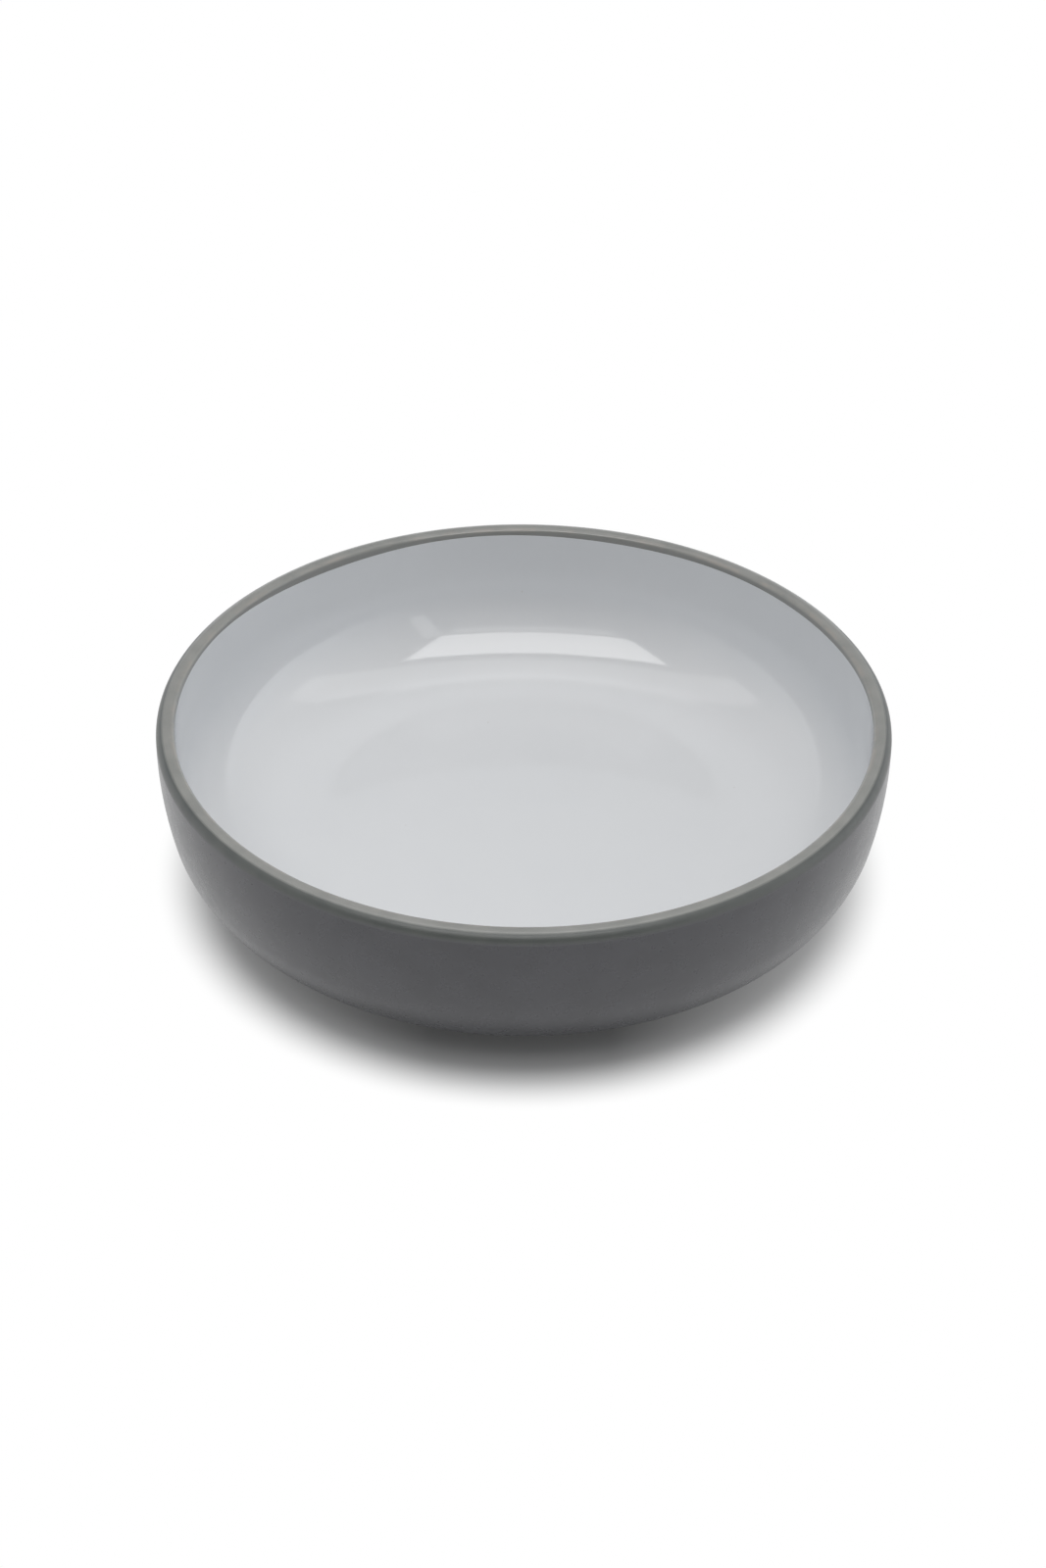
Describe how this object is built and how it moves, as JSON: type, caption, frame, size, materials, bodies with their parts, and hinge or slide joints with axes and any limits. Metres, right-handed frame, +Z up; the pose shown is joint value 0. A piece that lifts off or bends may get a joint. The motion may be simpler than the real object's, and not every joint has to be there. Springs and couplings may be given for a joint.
{
  "type": "cereal bowl",
  "caption": "Shallow round stoneware cereal bowl with a grey satin outside, a white gloss inside, a glazed rounded rim and a low bare foot ring.",
  "frame": {"origin": "centre of the foot ring's resting plane", "axes": "+Z up along the bowl's axis, +X to the right of the picture's view and +Y away from it"},
  "size_m": [0.17, 0.17, 0.043],
  "materials": {
    "stoneware": "bare fired clay, dry and slightly rough",
    "grey_glaze": "satin",
    "rim_glaze": "satin",
    "white_glaze": "gloss"
  },
  "bodies": {
    "root": {"stoneware_body": "stoneware", "outer_glaze": "grey_glaze", "rim_glaze": "rim_glaze", "inner_glaze": "white_glaze", "recess_glaze": "grey_glaze"}
  },
  "joints": []
}
